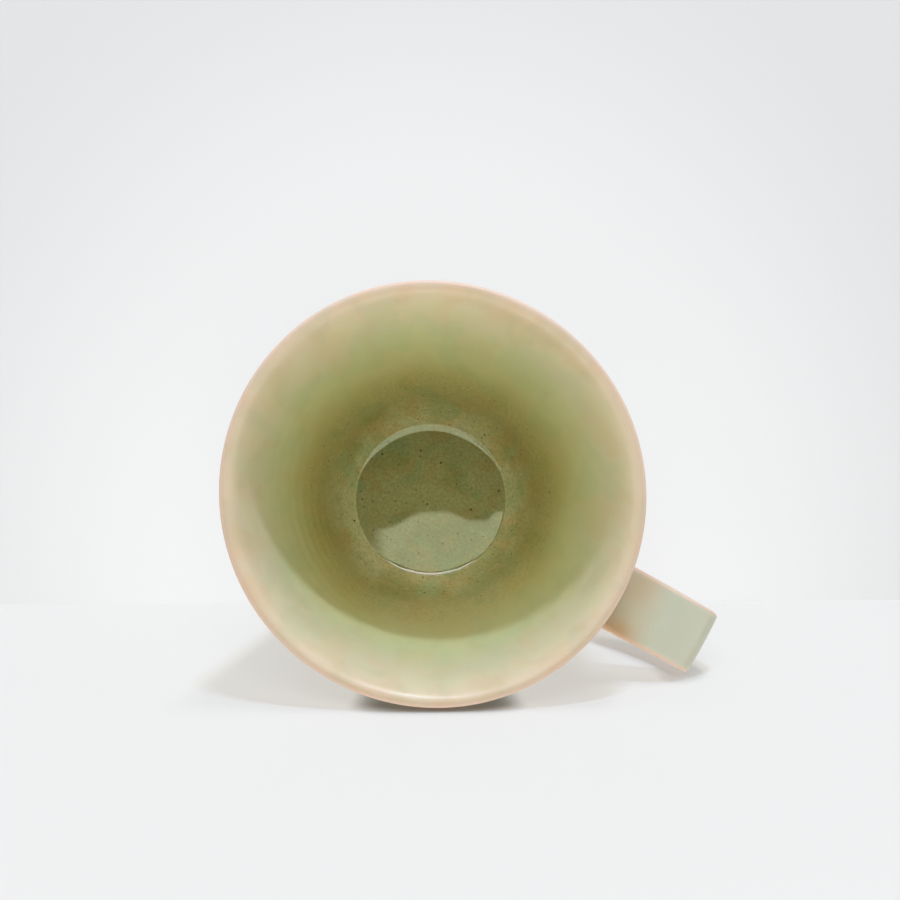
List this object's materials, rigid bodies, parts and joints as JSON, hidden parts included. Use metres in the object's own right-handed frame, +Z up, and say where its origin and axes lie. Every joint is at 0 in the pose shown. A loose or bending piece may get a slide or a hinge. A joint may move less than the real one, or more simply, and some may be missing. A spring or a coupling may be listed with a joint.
{
  "type": "ceramic mug",
  "caption": "Wide-mouthed tapered ceramic mug with a flat strap handle, thrown in stoneware and glazed all over except the base it stands on.",
  "frame": {"origin": "centre of the flat base face that the mug stands on", "axes": "+Z up along the mug's axis towards the mouth, +X from the axis towards the handle, +Y to the left of the handle seen from the mug"},
  "size_m": [0.1151, 0.092, 0.078],
  "materials": {
    "body_glaze": "glossy celadon green, cream and peach where it runs thin at the lip, with iron specks; bare clay under the foot",
    "handle_glaze": "glossy pale grey green with peach long edges"
  },
  "bodies": {
    "root": {"mug_body": "body_glaze", "handle": "handle_glaze", "upper_joint": "handle_glaze", "lower_joint": "handle_glaze"}
  },
  "joints": []
}
